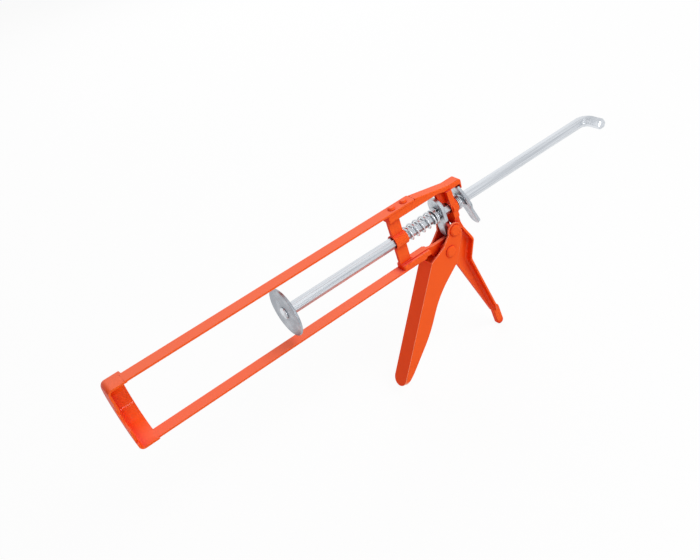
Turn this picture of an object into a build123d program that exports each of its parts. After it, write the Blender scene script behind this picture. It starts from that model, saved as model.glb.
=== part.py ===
"""Skeleton caulking gun: rod along X, nozzle end forward at -X, handle down, origin on the front plate."""

import os
from math import atan2, cos, degrees, hypot, radians, sin, tan

from build123d import *

# Cartridge bay and cradle pressing
cartridge_radius = 25.0
cartridge_clearance = 1.0
cradle_sheet = 1.5
bay_length = 231.5
rail_width = 10.0
rail_overlap = 26.0
rail_end_radius = 1.5
collar_length = 14.5
collar_lip = 2.5
collar_lip_height = 7.5
cup_corner_radius = 4.0
nozzle_slot_radius = 9.0

# Rivets that hold the rails on the body
rivet_radius = 1.8
rivet_head_radius = 3.2
rivet_crown_radius = 1.8
rivet_head_height = 1.7
rivet_head_rounding = 0.85
rivet_depth = 4.5
rivet_count = 2
rivet_first = 7.0
rivet_spacing = 11.5
rivet_clearance = 0.05

# Push rod and pusher plate
rod_flats = 8.0
rod_clearance = 0.35
rod_bend_radius = 8.0
rod_tip_chamfer = 1.2
hook_reach = 20.0
hook_setback = 219.0
pusher_setback = 132.0
pusher_radius = 19.5
pusher_thickness = 2.0
pusher_rim_radius = 0.6
spigot_radius = 3.0
spigot_head_radius = 4.6
spigot_head_height = 1.3
spigot_head_rounding = 0.9
spigot_clearance = 0.05

# Body casting: frame round the window
web_thickness = 3.0
upright_depth = 10.5
upright_lean = 2.2
top_beam_width = 9.0
top_beam_height = 6.7
top_beam_edge_radius = 0.7
rail_end_gap = 0.4
step_drop = 0.2
bottom_beam_width = 5.0
bottom_beam_height = 4.8
bottom_seat_width = 10.4
bottom_seat_thickness = 4.0
bottom_seat_corner_radius = 2.0
bottom_seat_edge_radius = 0.7
seat_margin = 3.5
window_corner_radius = 2.5
sleeve_wall = 0.9
sleeve_front = 0.4
sleeve_rear = 2.0
stop_lug_drop = 9.0
stop_lug_radius = 1.0
lug_rod_gap = 0.5

# Body casting: column, hump and hook
column_setback = 57.5
column_depth = 5.0
column_width = 12.0
column_taper = 2.5
column_lean_deg = 7.5
column_boss_wall = 2.0
column_boss_rear = 1.5
hump_drop = 5.0
hump_setback = 59.0
hump_thickness = 4.8
hump_radius = 6.0
hook_gap = 4.2
hook_wall = 1.6
hook_drop = 8.8
hook_top_radius = 2.5
hook_lip_radius = 0.5

# Body casting: handle
neck_width = 8.8
neck_drop = 21.5
neck_setback = 64.5
neck_radius = 3.0
heel_drop = 36.0
heel_setback = 71.0
heel_radius = 2.5
waist_drop = 52.5
waist_setback = 65.2
waist_radius = 6.0
handle_drop = 122.0
handle_setback = 84.5
palm_width = 14.5
palm_thickness = 2.0
palm_rim_radius = 1.1
palm_shoulder_radius = 6.0
palm_corner_radius = 4.0
palm_end_radius = 10.0
web_bury = 0.5
web_waist_depth = 10.5
web_end_depth = 2.6
web_root_radius = 2.2
lug_nose_drop = 4.0
lug_nose_reach = 9.0
lug_nose_radius = 6.0
lug_throat_back = 1.5
lug_throat_drop = 15.5
lug_throat_radius = 8.0
web_waist_radius = 5.0
lug_shelf_reach = 5.0
lug_shelf_start = 2.0
tip_radius = 3.6
tip_width = 5.4
tip_rim_radius = 1.4
tip_drop = 137.8
tip_back = 4.5

# Trigger channel, its pivot and its drive pin
trigger_sheet = 1.5
trigger_gap = 12.0
trigger_lean_deg = 29.5
trigger_length = 111.5
trigger_toe_length = 10.5
trigger_toe_depth = 6.8
trigger_toe_radius = 40.0
trigger_grip_depth = 15.8
trigger_grip_place = 63.0
trigger_belly_depth = 16.7
trigger_belly_place = 27.5
trigger_grip_radius = 110.0
trigger_belly_radius = 75.0
trigger_heel_depth = 28.0
trigger_heel_radius = 6.0
trigger_neck_radius = 9.0
trigger_throat_radius = 2.0
trigger_throat_drop = 1.0
trigger_fold_radius = 2.0
trigger_web_top = 0.5
trigger_eye_radius = 6.6
trigger_clearance = 0.4
web_top_reach = 20.3
pivot_setback = 46.8
pivot_drop = 33.0
pivot_radius = 2.5
pivot_boss_radius = 6.5
pivot_clearance = 0.08
drive_pin_radius = 3.0
drive_pin_rise = 15.8
drive_pin_back = 8.0
head_radius = 5.0
head_height = 1.8
head_rim_height = 0.7
head_top_radius = 3.6

# Drive plate and main spring
drive_plate_thickness = 3.0
drive_plate_tilt_deg = 6.65
drive_plate_width = 17.0
drive_plate_top = 14.5
drive_plate_tail = 21.0
drive_plate_tail_width = 8.6
drive_plate_tail_end_width = 6.4
drive_plate_tail_radius = 2.5
drive_plate_shoulder = 6.6
drive_plate_shoulder_radius = 3.0
drive_plate_setback = 48.0
drive_gap = 0.3
plate_clearance = 0.55
spring_wire = 1.3
spring_wire_sides = 8
spring_mean_radius = 5.9
spring_pitch = 5.8
spring_gap = 0.3

# Release lever and its spring
lever_thickness = 2.5
lever_tilt_deg = 21.0
lever_length = 46.0
lever_width = 16.0
lever_top_width = 11.0
lever_tail_width = 9.5
lever_cheek_above = 4.0
lever_cheek_below = 6.0
lever_tail_start = 13.0
lever_cheek_radius = 4.0
lever_waist_radius = 6.0
lever_hole_radius = 2.0
lever_setback = 68.0
lever_travel_deg = 12.0
lever_clearance = 0.4
lever_seat_gap = 0.3
release_wire = 1.1
release_coils = 3

# Small lengths that keep cuts and roundings clean
rounding_margin = 0.2
cut_margin = 1.0

# Places that follow from the sizes above
bay_radius = cartridge_radius + cartridge_clearance
cup_radius = bay_radius + cradle_sheet
body_front = cradle_sheet + bay_length
rail_end = body_front + rail_overlap
seat_end = rail_end + seat_margin
rod_corner = rod_flats / 2 / cos(radians(30))
rod_bore = rod_corner + rod_clearance
sleeve_radius = rod_bore + sleeve_wall
sleeve_end = body_front + upright_depth + sleeve_rear
window_top = bay_radius - top_beam_height
window_bottom = bottom_beam_height - bay_radius
rod_bend_x = body_front + hook_setback
column_x = body_front + column_setback
column_rear = column_x + column_depth
hump_x = body_front + hump_setback
hump_top = bay_radius - hump_drop
hump_bottom = hump_top - hump_thickness
pivot_x = body_front + pivot_setback
pin_x = pivot_x + drive_pin_back
pin_z = drive_pin_rise - pivot_drop
plate_x = body_front + drive_plate_setback
lever_x = body_front + lever_setback
lever_rise = hump_bottom - lever_thickness / 2 - lever_seat_gap
trigger_width = trigger_gap + 2 * trigger_sheet
rivet_places = [body_front + rivet_first + n * rivet_spacing for n in range(rivet_count)]
lug_top = -drive_plate_tail - 2 * trigger_clearance - drive_plate_thickness / 2
stop_level = window_top - stop_lug_drop
neck = (body_front + neck_setback, -neck_drop)
heel = (body_front + heel_setback, -heel_drop)
waist = (body_front + waist_setback, -waist_drop)
handle_end = (body_front + handle_setback, -handle_drop)
grip_middle = ((waist[0] + handle_end[0]) / 2, (waist[1] + handle_end[1]) / 2)
tip = (handle_end[0] + tip_back, -tip_drop)


def outline(points, radii=None):
    """A closed flat outline, with a rounding radius for each corner named by its place in the list."""
    face = make_face(Polyline(*points, close=True))
    for place, radius in (radii or {}).items():
        corner = face.vertices().sort_by_distance((*points[place], 0))[0]
        face = fillet(corner, radius)
    return face


def side_slab(face, width):
    """A flat outline in the X-Z plane made into a slab that is centred on the rod's plane."""
    return extrude(Plane.XZ * face, width / 2, both=True)


def along_x(start, end, radius):
    """A round bar on the rod's axis."""
    return Pos(start, 0, 0) * extrude(Plane.YZ * Circle(radius), end - start)


def along_y(x, z, width, radius):
    """A round bar across the gun, centred on the rod's plane."""
    return Pos(x, 0, z) * Rot(90, 0, 0) * Cylinder(radius, width)


def across_box(x0, x1, half_width, z0, z1):
    """A box that is centred on the rod's plane."""
    return Pos((x0 + x1) / 2, 0, (z0 + z1) / 2) * Box(x1 - x0, 2 * half_width, z1 - z0)


def hexagon(flats):
    """The rod's section, with flats at the top and the bottom and corners at the sides."""
    return RegularPolygon(flats / 2, 6, major_radius=False)


def rod_hole(flats, start, end):
    """A hexagonal bar along the rod's axis."""
    return Pos(start, 0, 0) * extrude(Plane.YZ * hexagon(flats), end - start)


def rounded_slab(face, width, radius):
    """A slab whose two side faces have rounded rims."""
    slab = side_slab(face, width)
    rims = slab.faces().filter_by(Plane.XZ).edges()
    return fillet(rims, radius)


def cradle():
    """Front plate with its nozzle slot, half-round collar and both rails, pressed from one sheet."""
    profile = outline(
        [
            (0, 0),
            (0, cup_radius),
            (collar_length, cup_radius),
            (collar_length, bay_radius),
            (cradle_sheet, bay_radius),
            (cradle_sheet, 0),
        ],
        {1: cup_corner_radius, 4: cup_corner_radius - cradle_sheet},
    )
    cup = revolve(Plane.XZ * profile, Axis.X)
    near_edge = -rail_width / 2
    lip_edge = near_edge - collar_lip
    lip_level = collar_lip_height - cup_radius
    reach = 2 * cup_radius
    cup -= Pos(collar_length / 2, near_edge - reach / 2, lip_level + reach / 2) * Box(reach, reach, reach)
    cup -= Pos(collar_length / 2, lip_edge - reach / 2, 0) * Box(reach, reach, 2 * reach)
    cup -= along_x(-cut_margin, cradle_sheet + cut_margin, nozzle_slot_radius)
    slot_box = Box(2 * (cradle_sheet + cut_margin), reach, 2 * nozzle_slot_radius)
    cup -= Pos(0, -reach / 2, 0) * slot_box
    rail_start = collar_length - cradle_sheet
    rail = across_box(rail_start, rail_end, rail_width / 2, bay_radius, cup_radius)
    rail = fillet(rail.edges().filter_by(Axis.Z).sort_by(Axis.X)[-2:], rail_end_radius)
    for x in rivet_places:
        hole = Cylinder(rivet_radius + rivet_clearance, 2 * cradle_sheet + cut_margin)
        rail -= Pos(x, 0, cup_radius) * hole
    return cup + rail + mirror(rail, Plane.XY)


def rail_rivets():
    """The rivets of the top rail, with low domed heads."""
    head = outline(
        [
            (0, 0),
            (rivet_head_radius, 0),
            (rivet_crown_radius, rivet_head_height),
            (0, rivet_head_height),
        ],
        {2: rivet_head_rounding},
    )
    head = revolve(Plane.XZ * head, Axis.Z)
    shank_length = cradle_sheet + rivet_depth
    rivet = head + Pos(0, 0, -shank_length / 2) * Cylinder(rivet_radius, shank_length)
    return [Pos(x, 0, cup_radius) * rivet for x in rivet_places]


def push_rod():
    """Hexagonal rod with its hook bent to the near side and its front end peened over the pusher plate."""
    bend_start = rod_bend_x - rod_bend_radius
    rod_start = pusher_setback + pusher_thickness
    straight = rod_hole(rod_flats, rod_start, bend_start)
    section = Plane.YZ * hexagon(rod_flats)
    bend_axis = Axis((bend_start, -rod_bend_radius, 0), (0, 0, -1))
    bend = revolve(Pos(bend_start, 0, 0) * section, bend_axis, 90)
    end_face = bend.faces().sort_by(Axis.Y)[0]
    hook = extrude(end_face, hook_reach - rod_bend_radius, dir=(0, -1, 0))
    hook = chamfer(hook.faces().sort_by(Axis.Y)[0].edges(), rod_tip_chamfer)
    spigot = along_x(pusher_setback, rod_start, spigot_radius)
    head = along_x(pusher_setback - spigot_head_height, pusher_setback, spigot_head_radius)
    head = fillet(head.faces().sort_by(Axis.X)[0].edges(), spigot_head_rounding)
    return straight + bend + hook + spigot + head


def pusher_plate():
    """Flat round plate with a rounded rim, held between the rod's shoulder and its peened end."""
    front = pusher_setback
    rear = pusher_setback + pusher_thickness
    plate = fillet(along_x(front, rear, pusher_radius).edges(), pusher_rim_radius)
    return plate - along_x(front - cut_margin, rear + cut_margin, spigot_radius + spigot_clearance)


def column_front(z):
    """The front of the leaning rear column at a height."""
    return column_x - z * tan(radians(column_lean_deg))


def upright_front(z):
    """The front of the upright at a height: its foot stands further back than its top."""
    return body_front + upright_lean * (bay_radius - z) / (2 * bay_radius)


def stop_front():
    """The front of the lug that stops the top of the drive plate."""
    tilt = radians(drive_plate_tilt_deg)
    return plate_x + drive_plate_thickness / 2 / cos(tilt) + drive_gap - stop_level * tan(tilt)


def top_beam():
    """Rail seat, step behind the rail, slope, hump and hook in one rounded strip."""
    step_x = rail_end + rail_end_gap
    hook_front = lever_x + hook_gap - hook_wall
    hook_rear = lever_x + hook_gap
    hook_end = hump_top - hook_drop
    strip = outline(
        [
            (body_front, bay_radius),
            (step_x, bay_radius),
            (step_x, cup_radius - step_drop),
            (hump_x, hump_top),
            (hook_rear, hump_top),
            (hook_rear, hook_end),
            (hook_front, hook_end),
            (hook_front, hump_bottom),
            (hump_x, hump_bottom),
            (stop_front(), window_top),
            (body_front, window_top),
        ],
        {3: hump_radius, 4: hook_top_radius, 5: hook_lip_radius, 6: hook_lip_radius, 7: hook_lip_radius},
    )
    return rounded_slab(strip, top_beam_width, top_beam_edge_radius)


def bottom_beam():
    """Beam with its wider seat for the bottom rail."""
    front = upright_front(-bay_radius)
    beam = across_box(front, seat_end, bottom_beam_width / 2, -bay_radius, window_bottom)
    seat_top = bottom_seat_thickness - bay_radius
    seat = across_box(front, seat_end, bottom_seat_width / 2, -bay_radius, seat_top)
    seat = fillet(seat.edges().filter_by(Axis.Z).sort_by(Axis.X)[:2], bottom_seat_corner_radius)
    seat = fillet(seat.faces().sort_by(Axis.Z)[-1].edges(), bottom_seat_edge_radius)
    return beam + seat


def web():
    """The thin wall in the rod's plane: upright, window, stop lug, pivot lug and the handle's rib."""
    wall = outline(
        [
            (upright_front(window_top), window_top + web_bury),
            (stop_front(), window_top + web_bury),
            (hump_x, hump_bottom + web_bury),
            (column_front(pin_z) + web_bury, pin_z),
            (neck[0] + web_bury, neck[1]),
            (heel[0] + web_bury, heel[1]),
            (waist[0] + web_bury, waist[1]),
            (handle_end[0] + web_bury, handle_end[1]),
            (handle_end[0] - web_end_depth, handle_end[1]),
            (waist[0] - web_waist_depth, waist[1]),
            (pivot_x + lug_throat_back, -pivot_drop - lug_throat_drop),
            (pivot_x - lug_nose_reach, -pivot_drop - lug_nose_drop),
            (seat_end, window_bottom - bottom_beam_height),
            (upright_front(-bay_radius), window_bottom - web_bury),
        ],
        {9: web_waist_radius, 10: lug_throat_radius, 11: lug_nose_radius},
    )
    lug_bottom = rod_bore + lug_rod_gap
    window = outline(
        [
            (upright_front(window_top) + upright_depth, window_top),
            (stop_front(), window_top),
            (stop_front(), stop_level),
            (column_front(lug_bottom), lug_bottom),
            (column_front(pin_z), pin_z),
            (column_front(lug_top), lug_top),
            (seat_end + lug_shelf_reach, lug_top),
            (seat_end - lug_shelf_start, window_bottom),
            (upright_front(window_bottom) + upright_depth, window_bottom),
        ],
        {0: window_corner_radius, 2: stop_lug_radius, 8: window_corner_radius},
    )
    return side_slab(wall, web_thickness) - side_slab(window, 2 * web_thickness)


def palm_flange():
    """Column and palm flange, cut to their outline as seen from behind."""
    column_top = hump_bottom + cut_margin
    bar = outline(
        [
            (column_front(column_top), column_top),
            (column_front(-drive_pin_rise), -drive_pin_rise),
            neck,
            heel,
            waist,
            handle_end,
            (handle_end[0] + palm_thickness, handle_end[1]),
            (waist[0] + palm_thickness, waist[1]),
            (heel[0] + palm_thickness, heel[1]),
            (neck[0] + palm_thickness, neck[1]),
            (column_front(-drive_pin_rise) + column_depth, -drive_pin_rise),
            (column_front(column_top) + column_depth, column_top),
        ],
        {
            2: neck_radius,
            3: heel_radius,
            4: waist_radius,
            7: waist_radius + palm_thickness,
            8: heel_radius + palm_thickness,
        },
    )
    eye_top = pin_z + trigger_eye_radius
    half_outline = [
        (column_width / 2, bay_radius),
        (column_width / 2, eye_top + column_taper),
        (neck_width / 2, eye_top),
        (neck_width / 2, -neck_drop),
        (palm_width / 2, -heel_drop),
        (palm_width / 2, -handle_drop + 2 * palm_corner_radius),
        (tip_width / 2, -handle_drop - palm_corner_radius),
        (tip_width / 2, -handle_drop - 2 * palm_corner_radius),
    ]
    mirrored = [(-y, z) for y, z in reversed(half_outline)]
    rear_view = outline(
        half_outline + mirrored,
        {4: palm_shoulder_radius, 5: palm_end_radius, 10: palm_end_radius, 11: palm_shoulder_radius},
    )
    rear_cut = Pos(body_front, 0, 0) * extrude(Plane.YZ * rear_view, handle_setback + palm_width)
    flange = side_slab(bar, palm_width)
    back = flange.faces().sort_by_distance((grip_middle[0] + palm_thickness, 0, grip_middle[1]))[0]
    rims = back.edges().sort_by(Axis.Y)
    return fillet([rims[0], rims[-1]], palm_rim_radius) & rear_cut


def handle():
    """Web and palm flange in one, with a round root where the handle's rib meets the flange."""
    joined = web() + palm_flange()
    roots = []
    for side in (-1, 1):
        place = (grip_middle[0], side * web_thickness / 2, grip_middle[1])
        roots.append(joined.edges().sort_by_distance(place)[0])
    return fillet(roots, web_root_radius)


def handle_tip():
    """Rounded toe that ends the handle."""
    start = (handle_end[0] + palm_thickness, handle_end[1])
    run = (tip[0] - start[0], tip[1] - start[1])
    slot = SlotCenterToCenter(hypot(*run), 2 * tip_radius)
    middle = Pos((start[0] + tip[0]) / 2, (start[1] + tip[1]) / 2)
    lean = degrees(atan2(run[1], run[0]))
    return rounded_slab(middle * Rot(0, 0, lean) * slot, tip_width, tip_rim_radius)


def body():
    """The whole casting with the rod's bore, the pivot's bore and the rivet holes."""
    pivot_boss = along_y(pivot_x, -pivot_drop, trigger_gap - 2 * trigger_clearance, pivot_boss_radius)
    sleeve_start = upright_front(0) - sleeve_front
    sleeve = along_x(sleeve_start, sleeve_end, sleeve_radius)
    boss_end = column_rear + column_boss_rear
    column_boss = along_x(column_x + cut_margin, boss_end, rod_bore + column_boss_wall)
    casting = handle() + top_beam() + bottom_beam() + handle_tip()
    casting = casting + pivot_boss + sleeve + column_boss
    casting -= along_x(sleeve_start - cut_margin, boss_end + cut_margin, rod_bore)
    casting -= along_y(pivot_x, -pivot_drop, 2 * trigger_width, pivot_radius + pivot_clearance)
    for x in rivet_places:
        for side in (-1, 1):
            hole = Cylinder(rivet_radius + rivet_clearance, 2 * (rivet_depth + rivet_clearance))
            casting -= Pos(x, 0, side * bay_radius) * hole
    return casting


def trigger_point(down, back):
    """A point of the trigger's side, measured down its front web and back from it."""
    lean = radians(trigger_lean_deg)
    x = pivot_x - web_top_reach - down * sin(lean) + back * cos(lean)
    z = -pivot_drop - down * cos(lean) - back * sin(lean)
    return (x, z)


def trigger_front():
    """The trigger's outline seen square to its front web, with a half-round end, as a deep block."""
    lean = radians(trigger_lean_deg)
    top_x, top_z = trigger_point(0, 0)
    view = Plane(origin=(top_x, 0, top_z), x_dir=(0, 1, 0), z_dir=(cos(lean), 0, -sin(lean)))
    half = trigger_width / 2
    right = [(half, trigger_length), (half, -trigger_length)]
    left = [(-y, along) for y, along in reversed(right)]
    end_rounding = half - rounding_margin
    face = outline(right + left, {1: end_rounding, 2: end_rounding})
    return extrude(view * face, trigger_length, both=True)


def trigger():
    """Sheet channel: two side plates with an eye at the top, joined by a front web with a round end."""
    eye = trigger_eye_radius
    eye_rounding = eye - rounding_margin
    side = outline(
        [
            trigger_point(0, 0),
            trigger_point(trigger_length, 0),
            trigger_point(trigger_length, trigger_sheet),
            trigger_point(trigger_length - trigger_toe_length, trigger_toe_depth),
            trigger_point(trigger_grip_place, trigger_grip_depth),
            trigger_point(trigger_belly_place, trigger_belly_depth),
            trigger_point(0, trigger_heel_depth),
            (pin_x + eye, pin_z - eye),
            (pin_x + eye, pin_z + eye),
            (pin_x - eye, pin_z + eye),
            (pin_x - eye, pin_z - trigger_throat_drop),
            (pivot_x - pivot_boss_radius, -pivot_drop + pivot_boss_radius),
        ],
        {
            3: trigger_toe_radius,
            4: trigger_grip_radius,
            5: trigger_belly_radius,
            6: trigger_heel_radius,
            7: trigger_heel_radius,
            8: eye_rounding,
            9: eye_rounding,
            10: trigger_throat_radius,
            11: trigger_neck_radius,
        },
    )
    channel = side_slab(side, trigger_width)
    front_face = channel.faces().filter_by(GeomType.PLANE).sort_by(Axis.X)[0]
    channel = fillet(front_face.edges().sort_by(Axis.Y)[0::3], trigger_fold_radius) & trigger_front()
    above_eye = pivot_drop - pin_z - 2 * eye - trigger_length
    behind = 2 * (trigger_heel_depth + web_top_reach)
    inner = outline(
        [
            trigger_point(above_eye, trigger_sheet),
            trigger_point(trigger_length + cut_margin, trigger_sheet),
            trigger_point(trigger_length + cut_margin, behind),
            trigger_point(above_eye, behind),
        ]
    )
    channel -= side_slab(inner, trigger_gap)
    above_web = outline(
        [
            trigger_point(trigger_web_top, -eye),
            trigger_point(trigger_web_top, trigger_heel_depth),
            trigger_point(above_eye, trigger_heel_depth),
            trigger_point(above_eye, -eye),
        ]
    )
    channel -= side_slab(above_web, trigger_gap)
    channel -= along_y(pivot_x, -pivot_drop, 2 * trigger_width, pivot_radius + rivet_clearance)
    return channel - along_y(pin_x, pin_z, 2 * trigger_width, drive_pin_radius + rivet_clearance)


def cross_rivet(x, z, radius):
    """A rivet across the trigger with a low round head on each side plate."""
    head = outline(
        [
            (0, 0),
            (head_radius, 0),
            (head_radius, head_rim_height),
            (head_top_radius, head_height),
            (0, head_height),
        ],
        {3: head_rim_height},
    )
    head = revolve(Plane.XZ * head, Axis.Z)
    near_head = Pos(x, -trigger_width / 2, z) * Rot(90, 0, 0) * head
    return along_y(x, z, trigger_width, radius) + near_head + mirror(near_head, Plane.XZ)


def drive_plate():
    """Grip plate with a round top, a hexagonal hole and a narrow tail between the trigger's side plates."""
    half = drive_plate_width / 2
    tail_half = drive_plate_tail_width / 2
    tail_end_half = drive_plate_tail_end_width / 2
    crown = half - rounding_margin
    face = outline(
        [
            (half, drive_plate_top),
            (half, -drive_plate_shoulder),
            (tail_half, -drive_plate_shoulder),
            (tail_end_half, -drive_plate_tail),
            (-tail_end_half, -drive_plate_tail),
            (-tail_half, -drive_plate_shoulder),
            (-half, -drive_plate_shoulder),
            (-half, drive_plate_top),
        ],
        {
            0: crown,
            1: drive_plate_shoulder_radius,
            3: drive_plate_tail_radius,
            4: drive_plate_tail_radius,
            6: drive_plate_shoulder_radius,
            7: crown,
        },
    )
    plate = extrude(Plane.YZ * face, drive_plate_thickness / 2, both=True)
    plate -= rod_hole(rod_flats + 2 * plate_clearance, -drive_plate_thickness, drive_plate_thickness)
    return Pos(plate_x, 0, 0) * Rot(0, -drive_plate_tilt_deg, 0) * plate


def coil(start, end, mean_radius, wire, pitch):
    """A coil spring on the rod's axis: round wire, drawn with few sides, swept along one helix."""
    height = end - start - wire
    path = Helix(pitch, height, mean_radius)
    section = Plane(path @ 0, z_dir=path % 0) * RegularPolygon(wire / 2, spring_wire_sides)
    wire_solid = sweep(section, path, is_frenet=True)
    return Pos(start + wire / 2, 0, 0) * Rot(0, 90, 0) * wire_solid


def main_spring():
    """Return spring between the sleeve and the drive plate."""
    tilt = radians(drive_plate_tilt_deg)
    plate_front = plate_x - drive_plate_thickness / 2 / cos(tilt)
    outer_radius = spring_mean_radius + spring_wire / 2
    start = sleeve_end + spring_gap
    end = plate_front - outer_radius * tan(tilt) - spring_gap
    return coil(start, end, spring_mean_radius, spring_wire, spring_pitch)


def lever_face(z):
    """The front of the release lever at a height on the rod's plane."""
    tilt = radians(lever_tilt_deg)
    return lever_x + (lever_rise - z) * tan(tilt) - lever_thickness / 2 / cos(tilt)


def release_spring():
    """Short spring between the column's boss and the release lever."""
    start = column_rear + column_boss_rear + spring_gap
    end = lever_face(spring_mean_radius + release_wire) - spring_gap
    pitch = (end - start - release_wire) / release_coils
    return coil(start, end, spring_mean_radius, release_wire, pitch)


def release_lever():
    """Catch plate that hangs by its round top edge under the hook and leans back to lock the rod."""
    tilt = radians(lever_tilt_deg)
    rest = lever_rise / cos(tilt)
    pressed = lever_rise / cos(tilt - radians(lever_travel_deg))
    hole_drop = (rest + pressed) / 2
    hole_half = (rod_flats / 2 + lever_clearance) / cos(tilt)
    hole_half += lever_thickness / 2 * tan(tilt) + (rest - pressed) / 2
    top_half = lever_top_width / 2
    half = lever_width / 2
    tail_half = lever_tail_width / 2
    right_side = [
        (top_half, 0),
        (half, lever_cheek_above - lever_rise),
        (half, -lever_cheek_below - lever_rise),
        (tail_half, -lever_tail_start - lever_rise),
        (tail_half, -lever_length),
    ]
    radii = [None, lever_cheek_radius, lever_waist_radius, lever_waist_radius, tail_half - rounding_margin]
    left_side = [(-y, z) for y, z in reversed(right_side)]
    both_radii = radii + radii[::-1]
    face = outline(right_side + left_side, {n: r for n, r in enumerate(both_radii) if r})
    plate = extrude(Plane.YZ * face, lever_thickness / 2, both=True)
    plate += along_y(0, 0, lever_top_width, lever_thickness / 2)
    hole_width = 2 * (rod_corner + lever_clearance)
    hole = Pos(0, -hole_drop) * RectangleRounded(hole_width, 2 * hole_half, lever_hole_radius)
    plate -= extrude(Plane.YZ * hole, lever_thickness, both=True)
    return Pos(lever_x, 0, lever_rise) * Rot(0, -lever_tilt_deg, 0) * plate


def main():
    """Build every node and write its file."""
    top_rivets = rail_rivets()
    nodes = {
        "cradle": cradle(),
        "body": body(),
        "top_rail_rivets": Compound(children=top_rivets),
        "bottom_rail_rivets": Compound(children=[mirror(rivet, Plane.XY) for rivet in top_rivets]),
        "push_rod": push_rod(),
        "pusher_plate": pusher_plate(),
        "trigger": trigger(),
        "trigger_pivot_rivet": cross_rivet(pivot_x, -pivot_drop, pivot_radius),
        "drive_pin": cross_rivet(pin_x, pin_z, drive_pin_radius),
        "drive_plate": drive_plate(),
        "main_spring": main_spring(),
        "release_lever": release_lever(),
        "release_spring": release_spring(),
    }
    os.makedirs("parts", exist_ok=True)
    for name, shape in nodes.items():
        export_step(shape, f"parts/{name}.step")


if __name__ == "__main__":
    main()
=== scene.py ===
"""Enamel, zinc plating, springs and studio for a skeleton caulking gun."""

from math import cos, sin, tau

import bpy
from bpy.props import FloatProperty, FloatVectorProperty, PointerProperty
from mathutils import Matrix, Vector


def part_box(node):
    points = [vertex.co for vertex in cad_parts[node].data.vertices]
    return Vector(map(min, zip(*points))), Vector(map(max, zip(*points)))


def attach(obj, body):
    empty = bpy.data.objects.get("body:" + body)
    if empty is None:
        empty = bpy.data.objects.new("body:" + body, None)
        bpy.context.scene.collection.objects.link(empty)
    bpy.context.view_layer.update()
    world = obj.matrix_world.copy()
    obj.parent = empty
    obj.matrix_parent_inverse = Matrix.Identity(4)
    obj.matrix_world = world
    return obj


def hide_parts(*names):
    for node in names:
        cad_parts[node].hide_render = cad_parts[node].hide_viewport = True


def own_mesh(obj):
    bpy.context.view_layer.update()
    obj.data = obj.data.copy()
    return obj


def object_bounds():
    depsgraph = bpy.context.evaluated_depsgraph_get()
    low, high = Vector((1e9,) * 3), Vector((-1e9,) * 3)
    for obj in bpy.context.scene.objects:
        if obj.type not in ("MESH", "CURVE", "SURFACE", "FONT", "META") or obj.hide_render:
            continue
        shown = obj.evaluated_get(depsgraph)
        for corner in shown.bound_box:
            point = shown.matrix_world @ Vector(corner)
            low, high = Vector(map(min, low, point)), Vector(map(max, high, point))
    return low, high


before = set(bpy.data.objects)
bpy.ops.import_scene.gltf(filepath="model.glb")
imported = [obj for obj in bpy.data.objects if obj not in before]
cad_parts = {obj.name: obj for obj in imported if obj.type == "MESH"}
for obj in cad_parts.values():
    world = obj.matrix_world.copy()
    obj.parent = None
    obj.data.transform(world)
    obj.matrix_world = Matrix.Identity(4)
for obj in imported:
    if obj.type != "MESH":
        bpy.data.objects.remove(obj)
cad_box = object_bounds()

bl_info = {
    "name": "Caulking Gun Finish",
    "version": (1, 0, 0),
    "blender": (4, 5, 0),
    "location": "View3D > Sidebar > Caulking Gun",
    "description": "Enamels, plates and lights a skeleton caulking gun",
    "category": "Object",
}

# Pieces that share a finish
FRAME_NODES = ("cradle", "body", "top_rail_rivets", "bottom_rail_rivets")
PIN_NODES = ("trigger_pivot_rivet", "drive_pin")
STAMPED_NODES = ("drive_plate", "release_lever")

# Softened edges, in metres and radians
WELD_GAP = 1e-6
FLAT_ANGLE = 0.01
SHARP_ANGLE = 0.6
BEVEL_STEPS = 2

# Spring wire, with the pitch of its closed turns over its thickness
WIRE_SIDES = 12
STEPS_PER_TURN = 48
CLOSED_PITCH = 1.06

# Grain and masks that the finishes share
FINE_DETAIL = 3.0
PATCH_DETAIL = 2.0
PATCH_FINENESS = 0.06
EDGE_SAMPLES = 4
CORNER_SAMPLES = 6
EDGE_GAIN = 6.0
CORNER_SHUT = 2.5
FOLD_GAIN = 4.0

# Enamel
# Painted shade in corners and hollows, lighter edges that are partly a painted highlight, a painted sheen
# on top
CORNER_SHADE_GAIN = 1.8
HOLLOW_START = 0.45
HOLLOW_GAIN = 2.0
THIN_RANGE = (0.1, 0.5)
PATCH_RANGE = (0.0, 0.12)
TOP_NARROWNESS = 10.0
FOLD_NARROWNESS = 1.2
ENAMEL_GLOSS_SPREAD = 0.06
PEEL_STRENGTH = 0.35
LACQUER_WEIGHT = 0.2
LACQUER_ROUGHNESS = 0.08

# Zinc
PATCH_PART = 0.6
MARK_PART = 0.5
MIDDLE_GREY = 0.55
# Painted shade in corners and a painted dark line along edges
CORNER_SHADE_SHARE = 0.5
EDGE_SHADE_SHARE = 0.9
ZINC_GLOSS_BELOW = 0.08
ZINC_GLOSS_ABOVE = 0.12
MARK_STRENGTH = 0.15

# Which way the marks under the zinc run: a small number draws them out along that axis
EVEN_MARKS = (1.0, 1.0, 1.0)
ROD_MARKS = (0.01, 1.0, 1.0)
PLATE_MARKS = (1.0, 1.0, 0.5)
ACROSS_ROD = (0.0, 1.0, 1.0)

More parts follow.
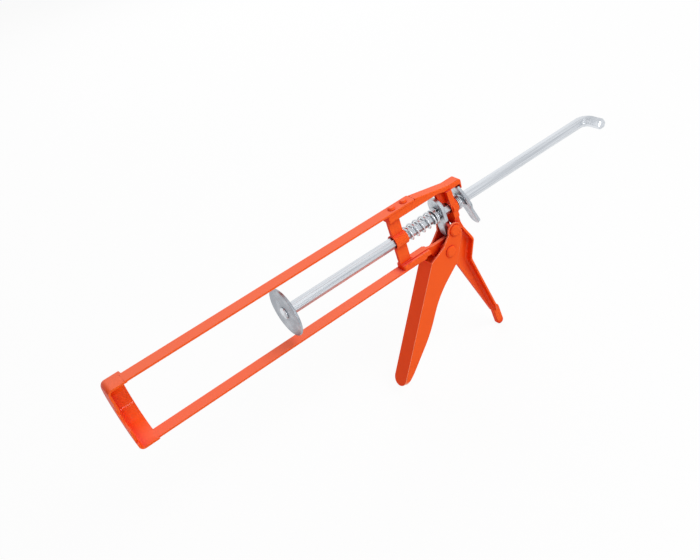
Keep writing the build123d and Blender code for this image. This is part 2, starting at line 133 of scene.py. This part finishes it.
# Studio, in metres, with the lamps' places counted from the middle of the gun
OBJECT_CENTRE = Vector((0.19, 0.0, -0.03))
KEY_PLACE = (0.75, -1.15, 0.75)
KEY_SIZE = (1.4, 1.4)
BAR_PLACE = (0.375, -0.825, 1.19)
BAR_SIZE = (1.1, 0.5)
RIM_PLACE = (0.75, 1.15, 0.95)
RIM_SIZE = (1.6, 1.6)
GLINT_PLACE = (-0.36, -1.03, 0.30)
GLINT_SIZE = (0.75, 0.12)
WHITE = (1.0, 1.0, 1.0, 1.0)
FLOOR_ROUGHNESS = 0.9
FLOOR_SPECULAR = 0.1

# Camera, fitted to the photograph
CAMERA_PLACE = Vector((-0.025089, -0.427876, 0.325271))
CAMERA_RIGHT = Vector((0.778814, -0.578736, -0.241896))
CAMERA_UP = Vector((0.507749, 0.355238, 0.784855))
SENSOR_WIDTH = 36.0
NEAREST_SEEN = 0.01


# Settings

def length(name, description, default):
    """A size in metres for the sidebar."""
    return FloatProperty(
        name=name, description=description, default=default, min=0.0, unit="LENGTH", precision=5
    )


def share(name, description, default):
    """A share from nought to one for the sidebar."""
    return FloatProperty(
        name=name, description=description, default=default, min=0.0, max=1.0, subtype="FACTOR"
    )


def number(name, description, default):
    """A plain number for the sidebar."""
    return FloatProperty(name=name, description=description, default=default, min=0.0, subtype="UNSIGNED")


def colour(name, description, default):
    """A colour for the sidebar."""
    return FloatVectorProperty(
        name=name, description=description, default=default, min=0.0, max=1.0, size=3, subtype="COLOR"
    )


def power(name, description, default):
    """A lamp's power for the sidebar."""
    return FloatProperty(name=name, description=description, default=default, min=0.0, unit="POWER")


class EnamelSettings(bpy.types.PropertyGroup):
    """Orange enamel on the frame and the trigger."""

    coat_colour: colour("Enamel", "Colour of the sprayed enamel", (0.88, 0.106, 0.012))
    # Painted shade in corners, from ambient occlusion; the same colour also tints random patches of the
    # enamel
    corner_shade_colour: colour("In corners", "Colour where the enamel lies thick", (0.74, 0.004, 0.0005))
    # Painted shade deep inside hollows
    hollow_shade_colour: colour("In hollows", "Colour of the grime deep inside hollows", (0.06, 0.004, 0.002))
    # Lighter edges: partly thinner enamel, partly a painted highlight
    painted_edge_colour: colour("On edges", "Colour where the enamel is thin", (0.93, 0.17, 0.03))
    # Painted highlight along a folded sheet's rounded folds
    fold_highlight_colour: colour("On folds", "Colour where a folded sheet rubs", (1.0, 0.60, 0.42))
    # Painted sheen on the faces that look up
    painted_sheen_colour: colour("Bloom", "Colour of the pale bloom on faces that look up", (1.0, 0.80, 0.78))
    painted_sheen: share("Bloom share", "How much of the bloom the faces that look up have", 0.08)
    # Painted shade on the faces that look to the nose
    front_shade_colour: colour("On fronts", "Colour on faces that look to the nose", (1.0, 0.02, 0.0))
    front_shade_share: share("Front share", "How much of that colour those faces have", 0.5)
    roughness: share("Roughness", "Roughness of the enamel's face", 0.32)
    peel_size: length("Peel size", "Width of the ripples in the sprayed face", 0.0016)
    peel_depth: length("Peel depth", "Depth of the ripples", 0.00003)
    edge_reach: length("Edge reach", "Width of the thin enamel along edges", 0.0007)
    corner_reach: length("Corner reach", "How far thick enamel reaches out of a corner", 0.008)
    edge_width: length("Edge rounding", "Rounding that the enamel gives to edges", 0.0004)


class ZincSettings(bpy.types.PropertyGroup):
    """Bright zinc plating on the rod, plates and springs."""

    bright_colour: colour("Zinc", "Colour of the bright plating", (0.76, 0.79, 0.83))
    dull_colour: colour("Dull zinc", "Colour of the dull patches", (0.38, 0.41, 0.45))
    # Painted shade in corners, from ambient occlusion
    corner_shade_colour: colour("In corners", "Colour of the film left in corners", (0.06, 0.065, 0.07))
    # Painted dark line along edges, standing for shade and dark reflections
    painted_edge_colour: colour("On edges", "Colour of the rounded edges", (0.18, 0.19, 0.21))
    roughness: share("Roughness", "Roughness of the plating", 0.34)
    rod_dullness: share("Rod dullness", "How dull the rod is", 0.12)
    rod_contrast: number("Rod contrast", "How strongly the rod's marks show", 4.5)
    pusher_dullness: share("Pusher dullness", "How dull the pusher plate is", 0.95)
    pusher_contrast: number("Pusher contrast", "How strongly the pusher's rings show", 2.5)
    plate_dullness: share("Plate dullness", "How dull the stamped plates are", 0.62)
    plate_contrast: number("Plate contrast", "How strongly the plates' marks show", 3.0)
    wire_dullness: share("Wire dullness", "How dull the spring wire is", 0.05)
    wire_contrast: number("Wire contrast", "How strongly the wire's marks show", 1.0)
    grain_size: length("Grain size", "Width of the marks in the steel under the plating", 0.0006)
    grain_depth: length("Grain depth", "Depth of those marks", 0.00002)
    edge_reach: length("Edge reach", "Width of the grey line along edges", 0.0005)
    corner_reach: length("Corner reach", "How far the film reaches out of a corner", 0.004)
    edge_width: length("Edge rounding", "Rounding of the stamped and turned edges", 0.0003)
    rod_edge_width: length("Rod edge rounding", "Rounding of the drawn rod's edges", 0.00012)


class SpringSettings(bpy.types.PropertyGroup):
    """Sizes of the two wire springs."""

    main_radius: length("Main radius", "Radius of the main spring to the middle of its wire", 0.0059)
    main_wire: length("Main wire", "Thickness of the main spring's wire", 0.0013)
    main_turns: number("Open turns", "Open turns of the main spring", 4.7)
    main_closed: number("Closed turns", "Closed turns at the plate", 2.6)
    main_keep: share("Main squeeze", "Share of its length at full squeeze", 0.607)
    release_radius: length("Release radius", "Radius of the release spring to its wire", 0.0059)
    release_wire: length("Release wire", "Thickness of the release spring's wire", 0.0011)
    release_turns: number("Release turns", "Turns of the release spring", 3.0)
    release_keep: share("Release squeeze", "Share of its length with the lever pressed", 0.68)


class StudioSettings(bpy.types.PropertyGroup):
    """Floor, lamps and camera."""

    floor_colour: colour("Floor", "Colour of the floor", (0.80, 0.80, 0.80))
    floor_glow: share("Floor glow", "Share of plain white that the floor shows", 0.92)
    floor_size: length("Floor size", "Side of the floor", 12.0)
    floor_gap: length("Floor gap", "Gap between the handle's tip and the floor", 0.0005)
    ambient: share("Ambient", "Strength of the light from all round", 0.45)
    key_power: power("Key", "Power of the soft lamp above the near side", 6.5)
    bar_power: power("Bar", "Power of the bar lamp above the near side", 9.0)
    rim_power: power("Rim", "Power of the lamp behind and above", 14.0)
    glint_power: power("Glint", "Power of the strip that shows only in gloss", 2.4)
    lens: FloatProperty(
        name="Lens", description="Focal length in millimetres", default=40.10, min=1.0, unit="CAMERA"
    )


class GunSettings(bpy.types.PropertyGroup):
    """Everything that the sidebar shows."""

    enamel: PointerProperty(type=EnamelSettings)
    zinc: PointerProperty(type=ZincSettings)
    springs: PointerProperty(type=SpringSettings)
    studio: PointerProperty(type=StudioSettings)


def settings():
    """The settings of this scene."""
    return bpy.context.scene.caulking_gun


# Node helpers

def feed(tree, socket, value):
    """Links a socket to another one, or gives it a plain value."""
    if isinstance(value, bpy.types.NodeSocket):
        tree.links.new(value, socket)
    else:
        socket.default_value = value


def node(tree, kind, inputs=None, **attributes):
    """Adds a node, sets its attributes and sets or links its inputs."""
    made = tree.nodes.new(kind)
    for name, value in attributes.items():
        setattr(made, name, value)
    for name, value in (inputs or {}).items():
        feed(tree, made.inputs[name], value)
    return made


def rgba(value):
    """A colour setting as four numbers."""
    return (*value, 1.0)


def mixed(tree, amount, first, second):
    """A colour between two colours."""
    made = tree.nodes.new("ShaderNodeMix")
    made.data_type = "RGBA"
    by_name = {socket.identifier: socket for socket in made.inputs}
    feed(tree, by_name["Factor_Float"], amount)
    feed(tree, by_name["A_Color"], first)
    feed(tree, by_name["B_Color"], second)
    return next(socket for socket in made.outputs if socket.identifier == "Result_Color")


def reckon(tree, operation, first, second=0.0, clamp=False):
    """One sum on two values."""
    values = {0: first, 1: second}
    return node(tree, "ShaderNodeMath", values, operation=operation, use_clamp=clamp).outputs[0]


def ranged(tree, value, low, high):
    """A nought to one value moved between two ends."""
    made = node(tree, "ShaderNodeMapRange", {"Value": value, "To Min": low, "To Max": high})
    return made.outputs["Result"]


def new_group(name, inputs, outputs):
    """An empty shader group with its sockets, and its two end nodes."""
    tree = bpy.data.node_groups.new(name, "ShaderNodeTree")
    for socket, kind, default in inputs:
        made = tree.interface.new_socket(socket, in_out="INPUT", socket_type=kind)
        made.default_value = default
    for socket, kind in outputs:
        tree.interface.new_socket(socket, in_out="OUTPUT", socket_type=kind)
    return tree, tree.nodes.new("NodeGroupInput"), tree.nodes.new("NodeGroupOutput")


def placed(tree, group, **values):
    """One use of a shader group, with its own values."""
    made = tree.nodes.new("ShaderNodeGroup")
    made.node_tree = group
    for name, value in values.items():
        made.inputs[name.replace("_", " ").title()].default_value = value
    return made


# Shader groups

def surface_grain():
    """Fine marks and slow patches, in the piece's own coordinates."""
    known = bpy.data.node_groups.get("surface_grain")
    if known:
        return known
    tree, start, end = new_group(
        "surface_grain",
        (("Size", "NodeSocketFloat", 0.001), ("Stretch", "NodeSocketVector", EVEN_MARKS)),
        (("Fine", "NodeSocketFloat"), ("Patch", "NodeSocketFloat")),
    )
    place = node(tree, "ShaderNodeTexCoord").outputs["Object"]
    stretch = {0: place, 1: start.outputs["Stretch"]}
    drawn = node(tree, "ShaderNodeVectorMath", stretch, operation="MULTIPLY").outputs[0]
    fineness = reckon(tree, "DIVIDE", 1.0, start.outputs["Size"])
    slow = reckon(tree, "MULTIPLY", fineness, PATCH_FINENESS)
    fine = node(tree, "ShaderNodeTexNoise", {"Vector": drawn, "Scale": fineness, "Detail": FINE_DETAIL})
    patch = node(tree, "ShaderNodeTexNoise", {"Vector": drawn, "Scale": slow, "Detail": PATCH_DETAIL})
    tree.links.new(fine.outputs["Fac"], end.inputs["Fine"])
    tree.links.new(patch.outputs["Fac"], end.inputs["Patch"])
    return tree


def edges_and_corners():
    """Masks along the outer edges and in the inner corners of a piece."""
    known = bpy.data.node_groups.get("edges_and_corners")
    if known:
        return known
    tree, start, end = new_group(
        "edges_and_corners",
        (("Edge Reach", "NodeSocketFloat", 0.001), ("Corner Reach", "NodeSocketFloat", 0.005)),
        (("Edge", "NodeSocketFloat"), ("Corner", "NodeSocketFloat")),
    )
    edge_reach = {"Radius": start.outputs["Edge Reach"]}
    corner_reach = {"Distance": start.outputs["Corner Reach"]}
    rounded = node(tree, "ShaderNodeBevel", edge_reach, samples=EDGE_SAMPLES).outputs["Normal"]
    facing = node(tree, "ShaderNodeNewGeometry").outputs["Normal"]
    turn = node(tree, "ShaderNodeVectorMath", {0: rounded, 1: facing}, operation="DOT_PRODUCT")
    bend = reckon(tree, "SUBTRACT", 1.0, turn.outputs["Value"], clamp=True)
    # The corner mask is ambient occlusion; the finishes use it for painted shade
    hidden = node(tree, "ShaderNodeAmbientOcclusion", corner_reach, samples=CORNER_SAMPLES)
    corner = reckon(tree, "SUBTRACT", 1.0, hidden.outputs["AO"], clamp=True)
    # A corner bends as an edge does, so the edge mask is shut there
    shut = reckon(tree, "MULTIPLY", corner, CORNER_SHUT)
    open_side = reckon(tree, "SUBTRACT", 1.0, shut, clamp=True)
    any_bend = reckon(tree, "MULTIPLY", bend, EDGE_GAIN, clamp=True)
    edge = reckon(tree, "MULTIPLY", any_bend, open_side, clamp=True)
    tree.links.new(edge, end.inputs["Edge"])
    tree.links.new(corner, end.inputs["Corner"])
    return tree


def fold_highlight_mask():
    """A mask on the rounded folds between a sheet's sides and its front, where the enamel gets a painted
    highlight.
    """
    known = bpy.data.node_groups.get("fold_highlight_mask")
    if known:
        return known
    tree, start, end = new_group(
        "fold_highlight_mask", (("Narrowness", "NodeSocketFloat", 1.0),), (("Fold", "NodeSocketFloat"),)
    )
    facing = node(tree, "ShaderNodeTexCoord").outputs["Normal"]
    sideways = node(tree, "ShaderNodeSeparateXYZ", {"Vector": facing}).outputs["Y"]
    turned = reckon(tree, "MULTIPLY", sideways, sideways)
    between = reckon(tree, "MULTIPLY", turned, reckon(tree, "SUBTRACT", 1.0, turned))
    peak = reckon(tree, "MULTIPLY", between, FOLD_GAIN, clamp=True)
    fold = reckon(tree, "POWER", peak, start.outputs["Narrowness"])
    tree.links.new(fold, end.inputs["Fold"])
    return tree


def lit_and_shaded_sides():
    """Masks on the faces that look up, for a painted sheen, and on those that look to the nose, for
    painted shade.
    """
    known = bpy.data.node_groups.get("lit_and_shaded_sides")
    if known:
        return known
    tree, start, end = new_group(
        "lit_and_shaded_sides",
        (("Narrowness", "NodeSocketFloat", 1.0),),
        (("Top", "NodeSocketFloat"), ("Front", "NodeSocketFloat")),
    )
    facing = node(tree, "ShaderNodeTexCoord").outputs["Normal"]
    parts = node(tree, "ShaderNodeSeparateXYZ", {"Vector": facing})
    upward = reckon(tree, "MAXIMUM", parts.outputs["Z"], 0.0)
    forward = reckon(tree, "MAXIMUM", reckon(tree, "MULTIPLY", parts.outputs["X"], -1.0), 0.0)
    top = reckon(tree, "POWER", upward, start.outputs["Narrowness"])
    front = reckon(tree, "MULTIPLY", forward, forward)
    tree.links.new(top, end.inputs["Top"])
    tree.links.new(front, end.inputs["Front"])
    return tree


# Materials

def new_material(name):
    """An empty material, its tree and its shader."""
    made = bpy.data.materials.new(name)
    made.use_nodes = True
    return made, made.node_tree, made.node_tree.nodes["Principled BSDF"]


def enamel(name, folded=False):
    """Sprayed enamel with painted shade in corners, in hollows and on faces that look to the nose, edges
    lighter from thinner enamel and a painted highlight, a painted sheen on faces that look up, and a
    painted highlight on a sheet's folds.
    """
    known = bpy.data.materials.get(name)
    if known:
        return known
    use = settings().enamel
    made, tree, shader = new_material(name)
    grain = placed(tree, surface_grain(), size=use.peel_size)
    forms = placed(tree, edges_and_corners(), edge_reach=use.edge_reach, corner_reach=use.corner_reach)
    sides = placed(tree, lit_and_shaded_sides(), narrowness=TOP_NARROWNESS)
    patch = grain.outputs["Patch"]
    corner = forms.outputs["Corner"]
    # Painted shade in corners, deepening to darker painted shade inside hollows
    shaded = reckon(tree, "MULTIPLY", corner, CORNER_SHADE_GAIN, clamp=True)
    inside = reckon(tree, "SUBTRACT", corner, HOLLOW_START)
    deep = reckon(tree, "MULTIPLY", inside, HOLLOW_GAIN, clamp=True)
    # Edges lighter, partly from thinner enamel and partly from a painted highlight
    thin_and_lit = reckon(tree, "MULTIPLY", forms.outputs["Edge"], ranged(tree, patch, *THIN_RANGE))
    # Painted shade on faces that look to the nose and a painted sheen on faces that look up
    front_shade = reckon(tree, "MULTIPLY", sides.outputs["Front"], use.front_shade_share)
    pale = reckon(tree, "MULTIPLY", sides.outputs["Top"], use.painted_sheen)
    face = mixed(tree, shaded, rgba(use.coat_colour), rgba(use.corner_shade_colour))
    # Random darker patches are the enamel's own uneven tone
    face = mixed(tree, ranged(tree, patch, *PATCH_RANGE), face, rgba(use.corner_shade_colour))
    face = mixed(tree, deep, face, rgba(use.hollow_shade_colour))
    face = mixed(tree, thin_and_lit, face, rgba(use.painted_edge_colour))
    face = mixed(tree, front_shade, face, rgba(use.front_shade_colour))
    face = mixed(tree, pale, face, rgba(use.painted_sheen_colour))
    # Painted highlight on a sheet's folds
    if folded:
        folds = placed(tree, fold_highlight_mask(), narrowness=FOLD_NARROWNESS)
        face = mixed(tree, folds.outputs["Fold"], face, rgba(use.fold_highlight_colour))
    smoothest = use.roughness - ENAMEL_GLOSS_SPREAD
    roughest = use.roughness + ENAMEL_GLOSS_SPREAD
    relief = {"Strength": PEEL_STRENGTH, "Distance": use.peel_depth, "Height": grain.outputs["Fine"]}
    ripple = node(tree, "ShaderNodeBump", relief)
    feed(tree, shader.inputs["Base Color"], face)
    feed(tree, shader.inputs["Roughness"], ranged(tree, patch, smoothest, roughest))
    feed(tree, shader.inputs["Normal"], ripple.outputs["Normal"])
    # The clear coat alone gives the gloss
    shader.inputs["Specular IOR Level"].default_value = 0.0
    shader.inputs["Coat Weight"].default_value = LACQUER_WEIGHT
    shader.inputs["Coat Roughness"].default_value = LACQUER_ROUGHNESS
    return made


def rings(tree, size):
    """Fine rings round the rod's axis."""
    place = node(tree, "ShaderNodeTexCoord").outputs["Object"]
    across = node(tree, "ShaderNodeVectorMath", {0: place, 1: ACROSS_ROD}, operation="MULTIPLY")
    radius = node(tree, "ShaderNodeVectorMath", {0: across.outputs[0]}, operation="LENGTH")
    noise = {"W": radius.outputs["Value"], "Scale": 1.0 / size, "Detail": FINE_DETAIL}
    return node(tree, "ShaderNodeTexNoise", noise, noise_dimensions="1D").outputs["Fac"]


def zinc(name, stretch, dullness, contrast, turned=False):
    """Zinc plating over marks that run the way the steel was drawn, or in rings where it was turned, with
    painted shade in corners and a painted dark line along edges.
    """
    known = bpy.data.materials.get(name)
    if known:
        return known
    use = settings().zinc
    made, tree, shader = new_material(name)
    grain = placed(tree, surface_grain(), size=use.grain_size, stretch=stretch)
    forms = placed(tree, edges_and_corners(), edge_reach=use.edge_reach, corner_reach=use.corner_reach)
    marks = rings(tree, use.grain_size) if turned else grain.outputs["Fine"]
    from_patches = reckon(tree, "MULTIPLY", grain.outputs["Patch"], PATCH_PART)
    from_marks = reckon(tree, "MULTIPLY", marks, MARK_PART)
    grey = reckon(tree, "ADD", from_patches, from_marks)
    uneven = reckon(tree, "MULTIPLY", reckon(tree, "SUBTRACT", grey, MIDDLE_GREY), contrast)
    dull = reckon(tree, "ADD", uneven, dullness, clamp=True)
    # Painted shade in corners and a painted dark line along edges
    shade = reckon(tree, "MULTIPLY", forms.outputs["Corner"], CORNER_SHADE_SHARE, clamp=True)
    line = reckon(tree, "MULTIPLY", forms.outputs["Edge"], EDGE_SHADE_SHARE)
    face = mixed(tree, dull, rgba(use.bright_colour), rgba(use.dull_colour))
    face = mixed(tree, shade, face, rgba(use.corner_shade_colour))
    face = mixed(tree, line, face, rgba(use.painted_edge_colour))
    smoothest = use.roughness - ZINC_GLOSS_BELOW
    roughest = use.roughness + ZINC_GLOSS_ABOVE
    relief = {"Strength": MARK_STRENGTH, "Distance": use.grain_depth, "Height": marks}
    cut = node(tree, "ShaderNodeBump", relief)
    feed(tree, shader.inputs["Base Color"], face)
    feed(tree, shader.inputs["Roughness"], ranged(tree, dull, smoothest, roughest))
    feed(tree, shader.inputs["Normal"], cut.outputs["Normal"])
    shader.inputs["Metallic"].default_value = 1.0
    return made


# Piece helpers

def finish_node(name, material, rounding):
    """Gives a CAD node its finish and softens its edges."""
    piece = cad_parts[name]
    piece.data.materials.clear()
    piece.data.materials.append(material)
    piece.modifiers.new("weld", "WELD").merge_threshold = WELD_GAP
    flat = piece.modifiers.new("flat_faces", "DECIMATE")
    flat.decimate_type = "DISSOLVE"
    flat.angle_limit = FLAT_ANGLE
    soft = piece.modifiers.new("soft_edges", "BEVEL")
    soft.limit_method = "ANGLE"
    soft.angle_limit = SHARP_ANGLE
    soft.width = rounding
    soft.segments = BEVEL_STEPS
    soft.use_clamp_overlap = True
    even = piece.modifiers.new("even_shading", "WEIGHTED_NORMAL")
    even.keep_sharp = False


def wire_mesh(name, centres, radius):
    """A round wire along a list of points on a coil round the rod's axis."""
    points = []
    for number_along, centre in enumerate(centres):
        before = centres[max(number_along - 1, 0)]
        after = centres[min(number_along + 1, len(centres) - 1)]
        ahead = (after - before).normalized()
        outward = Vector((0.0, centre.y, centre.z)).normalized()
        beside = ahead.cross(outward).normalized()
        outward = beside.cross(ahead)
        for side in range(WIRE_SIDES):
            angle = tau * side / WIRE_SIDES
            points.append(centre + radius * (cos(angle) * outward + sin(angle) * beside))
    faces = []
    for ring in range(len(centres) - 1):
        for side in range(WIRE_SIDES):
            here = ring * WIRE_SIDES + side
            beyond = ring * WIRE_SIDES + (side + 1) % WIRE_SIDES
            faces.append((here, beyond, beyond + WIRE_SIDES, here + WIRE_SIDES))
    last = (len(centres) - 1) * WIRE_SIDES
    faces.append(tuple(reversed(range(WIRE_SIDES))))
    faces.append(tuple(range(last, last + WIRE_SIDES)))
    mesh = bpy.data.meshes.new(name)
    mesh.from_pydata(points, [], faces)
    mesh.shade_smooth()
    piece = bpy.data.objects.new(name, mesh)
    bpy.context.scene.collection.objects.link(piece)
    return piece


def coil_centres(start, end, radius, wire, open_turns, closed_turns):
    """Points on a coil that runs open from its start and closes up at its end."""
    room = end - start - wire
    closed_pitch = wire * CLOSED_PITCH
    open_pitch = (room - closed_turns * closed_pitch) / open_turns
    turns = open_turns + closed_turns
    count = round(turns * STEPS_PER_TURN)
    centres = []
    along = start + wire / 2
    for step in range(count + 1):
        turn = step * turns / count
        angle = tau * turn
        centres.append(Vector((along, radius * cos(angle), radius * sin(angle))))
        pitch = open_pitch if turn < open_turns else closed_pitch
        along += pitch * turns / count
    return centres


def wind(name, replaced, body, radius, wire, open_turns, closed_turns):
    """Winds a spring where its CAD node is, and lets it stand for that node."""
    low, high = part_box(replaced)
    centres = coil_centres(low.x, high.x, radius, wire, open_turns, closed_turns)
    piece = wire_mesh(name, centres, wire / 2)
    use = settings().zinc
    piece.data.materials.append(zinc("zinc_spring_wire", EVEN_MARKS, use.wire_dullness, use.wire_contrast))
    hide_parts(replaced)
    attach(piece, body)
    return piece, low


# Studio helpers

def seen_directly(tree):
    """One where a ray comes from the camera, a reflection or glass, else nought."""
    path = node(tree, "ShaderNodeLightPath")
    mirror = reckon(tree, "MAXIMUM", path.outputs["Is Glossy Ray"], path.outputs["Is Transmission Ray"])
    return reckon(tree, "MAXIMUM", path.outputs["Is Camera Ray"], mirror)


def lay_floor(use):
    """A pale floor under the handle's tip, which keeps the shadow and shows mostly white."""
    half = use.floor_size / 2
    level = cad_box[0].z - use.floor_gap
    mesh = bpy.data.meshes.new("floor")
    corners = [(x * half, y * half, level) for x, y in ((-1, -1), (1, -1), (1, 1), (-1, 1))]
    mesh.from_pydata(corners, [], [(0, 1, 2, 3)])
    floor = bpy.data.objects.new("floor", mesh)
    bpy.context.scene.collection.objects.link(floor)
    made, tree, shader = new_material("pale_floor")
    shader.inputs["Base Color"].default_value = rgba(use.floor_colour)
    shader.inputs["Roughness"].default_value = FLOOR_ROUGHNESS
    shader.inputs["Specular IOR Level"].default_value = FLOOR_SPECULAR
    white = node(tree, "ShaderNodeEmission", {"Color": WHITE, "Strength": 1.0})
    amount = reckon(tree, "MULTIPLY", seen_directly(tree), use.floor_glow)
    shades = {0: amount, 1: shader.outputs["BSDF"], 2: white.outputs["Emission"]}
    both = node(tree, "ShaderNodeMixShader", shades)
    tree.links.new(both.outputs[0], tree.nodes["Material Output"].inputs["Surface"])
    mesh.materials.append(made)


def light_surround(scene, use):
    """A surround that looks white and lights the gun softly from all round."""
    world = bpy.data.worlds.new("white_surround")
    world.use_nodes = True
    tree = world.node_tree
    tree.nodes.clear()
    soft = node(tree, "ShaderNodeBackground", {"Color": WHITE, "Strength": use.ambient})
    white = node(tree, "ShaderNodeBackground", {"Color": WHITE, "Strength": 1.0})
    shades = {0: seen_directly(tree), 1: soft.outputs[0], 2: white.outputs[0]}
    both = node(tree, "ShaderNodeMixShader", shades)
    node(tree, "ShaderNodeOutputWorld", {"Surface": both.outputs[0]})
    scene.world = world


def hang_lamp(name, place, size, watts, only_gloss=False):
    """A soft flat lamp aimed at the gun, which stays out of the gloss or shows only there."""
    data = bpy.data.lights.new(name, "AREA")
    data.shape = "RECTANGLE"
    data.size, data.size_y = size
    data.energy = watts
    lamp = bpy.data.objects.new(name, data)
    lamp.location = OBJECT_CENTRE + Vector(place)
    lamp.rotation_mode = "QUATERNION"
    lamp.rotation_quaternion = (-Vector(place)).to_track_quat("-Z", "Y")
    lamp.visible_glossy = only_gloss
    lamp.visible_diffuse = not only_gloss
    bpy.context.scene.collection.objects.link(lamp)


def set_camera(scene, use):
    """The camera, where the photograph was taken from."""
    data = bpy.data.cameras.new("camera")
    data.lens = use.lens
    data.sensor_width = SENSOR_WIDTH
    data.clip_start = NEAREST_SEEN
    camera = bpy.data.objects.new("camera", data)
    turned = Matrix((CAMERA_RIGHT, CAMERA_UP, CAMERA_RIGHT.cross(CAMERA_UP))).transposed().to_4x4()
    camera.matrix_world = Matrix.Translation(CAMERA_PLACE) @ turned
    scene.collection.objects.link(camera)
    scene.camera = camera


# Operators

class GUN_OT_enamel_frame(bpy.types.Operator):
    """Enamels the cradle, the body and the rivets that join them"""

    bl_idname = "gun.enamel_frame"
    bl_label = "Enamel Frame"

    def execute(self, context):
        for name in FRAME_NODES:
            finish_node(name, enamel("orange_enamel"), settings().enamel.edge_width)
        return {"FINISHED"}


class GUN_OT_enamel_trigger(bpy.types.Operator):
    """Enamels the trigger and its two pins"""

    bl_idname = "gun.enamel_trigger"
    bl_label = "Enamel Trigger"

    def execute(self, context):
        rounding = settings().enamel.edge_width
        finish_node("trigger", enamel("orange_enamel_sheet", folded=True), rounding)
        for name in PIN_NODES:
            finish_node(name, enamel("orange_enamel"), rounding)
        return {"FINISHED"}


class GUN_OT_plate_rod(bpy.types.Operator):
    """Plates the drawn rod"""

    bl_idname = "gun.plate_rod"
    bl_label = "Plate Rod"

    def execute(self, context):
        use = settings().zinc
        plating = zinc("zinc_drawn_rod", ROD_MARKS, use.rod_dullness, use.rod_contrast)
        finish_node("push_rod", plating, use.rod_edge_width)
        return {"FINISHED"}


class GUN_OT_plate_pusher(bpy.types.Operator):
    """Plates the turned pusher plate"""

    bl_idname = "gun.plate_pusher"
    bl_label = "Plate Pusher"

    def execute(self, context):
        use = settings().zinc
        plating = zinc(
            "zinc_turned_plate", EVEN_MARKS, use.pusher_dullness, use.pusher_contrast, turned=True
        )
        finish_node("pusher_plate", plating, use.edge_width)
        return {"FINISHED"}


class GUN_OT_plate_stampings(bpy.types.Operator):
    """Plates the drive plate and the release lever"""

    bl_idname = "gun.plate_stampings"
    bl_label = "Plate Stampings"

    def execute(self, context):
        use = settings().zinc
        plating = zinc("zinc_stamped_plate", PLATE_MARKS, use.plate_dullness, use.plate_contrast)
        for name in STAMPED_NODES:
            finish_node(name, plating, use.edge_width)
        return {"FINISHED"}


class GUN_OT_wind_main_spring(bpy.types.Operator):
    """Winds the main spring between the sleeve and the drive plate"""

    bl_idname = "gun.wind_main_spring"
    bl_label = "Wind Main Spring"

    def execute(self, context):
        use = settings().springs
        piece, low = wind(
            "main_spring_wire", "main_spring", "frame",
            use.main_radius, use.main_wire, use.main_turns, use.main_closed,
        )
        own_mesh(piece)
        return {"FINISHED"}


class GUN_OT_wind_release_spring(bpy.types.Operator):
    """Winds the release spring between the column and the lever"""

    bl_idname = "gun.wind_release_spring"
    bl_label = "Wind Release Spring"

    def execute(self, context):
        use = settings().springs
        piece, low = wind(
            "release_spring_wire", "release_spring", "frame",
            use.release_radius, use.release_wire, use.release_turns, closed_turns=0.0,
        )
        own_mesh(piece)
        return {"FINISHED"}


class GUN_OT_set_studio(bpy.types.Operator):
    """Sets the floor, the lamps, the white surround and the camera"""

    bl_idname = "gun.set_studio"
    bl_label = "Set Studio"

    def execute(self, context):
        use = settings().studio
        lay_floor(use)
        light_surround(context.scene, use)
        hang_lamp("key_lamp", KEY_PLACE, KEY_SIZE, use.key_power)
        hang_lamp("bar_lamp", BAR_PLACE, BAR_SIZE, use.bar_power)
        hang_lamp("rim_lamp", RIM_PLACE, RIM_SIZE, use.rim_power)
        hang_lamp("glint_lamp", GLINT_PLACE, GLINT_SIZE, use.glint_power, only_gloss=True)
        set_camera(context.scene, use)
        context.scene.view_settings.view_transform = "Standard"
        return {"FINISHED"}


# Sidebar

class GUN_PT_sidebar(bpy.types.Panel):
    """Lists the pieces, the studio and their sizes and colours"""

    bl_label = "Caulking Gun"
    bl_idname = "GUN_PT_sidebar"
    bl_space_type = "VIEW_3D"
    bl_region_type = "UI"
    bl_category = "Caulking Gun"

    def draw(self, context):
        layout = self.layout
        for operator in OPERATORS:
            layout.operator(operator.bl_idname)
        groups = context.scene.caulking_gun
        for group in (groups.enamel, groups.zinc, groups.springs, groups.studio):
            box = layout.box()
            for name in group.bl_rna.properties.keys():
                if name not in ("rna_type", "name"):
                    box.prop(group, name)


SETTINGS = (EnamelSettings, ZincSettings, SpringSettings, StudioSettings, GunSettings)
OPERATORS = (
    GUN_OT_enamel_frame,
    GUN_OT_enamel_trigger,
    GUN_OT_plate_rod,
    GUN_OT_plate_pusher,
    GUN_OT_plate_stampings,
    GUN_OT_wind_main_spring,
    GUN_OT_wind_release_spring,
    GUN_OT_set_studio,
)


def register():
    """Adds the settings, the operators and the panel to Blender."""
    for made in (*SETTINGS, *OPERATORS, GUN_PT_sidebar):
        bpy.utils.register_class(made)
    bpy.types.Scene.caulking_gun = PointerProperty(type=GunSettings)


def unregister():
    """Takes them out again."""
    del bpy.types.Scene.caulking_gun
    for made in reversed((*SETTINGS, *OPERATORS, GUN_PT_sidebar)):
        bpy.utils.unregister_class(made)


def main():
    """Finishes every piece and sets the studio."""
    register()
    bpy.ops.gun.enamel_frame()
    bpy.ops.gun.enamel_trigger()
    bpy.ops.gun.plate_rod()
    bpy.ops.gun.plate_pusher()
    bpy.ops.gun.plate_stampings()
    bpy.ops.gun.wind_main_spring()
    bpy.ops.gun.wind_release_spring()
    bpy.ops.gun.set_studio()
    bpy.context.view_layer.update()


if __name__ == "__main__":
    main()
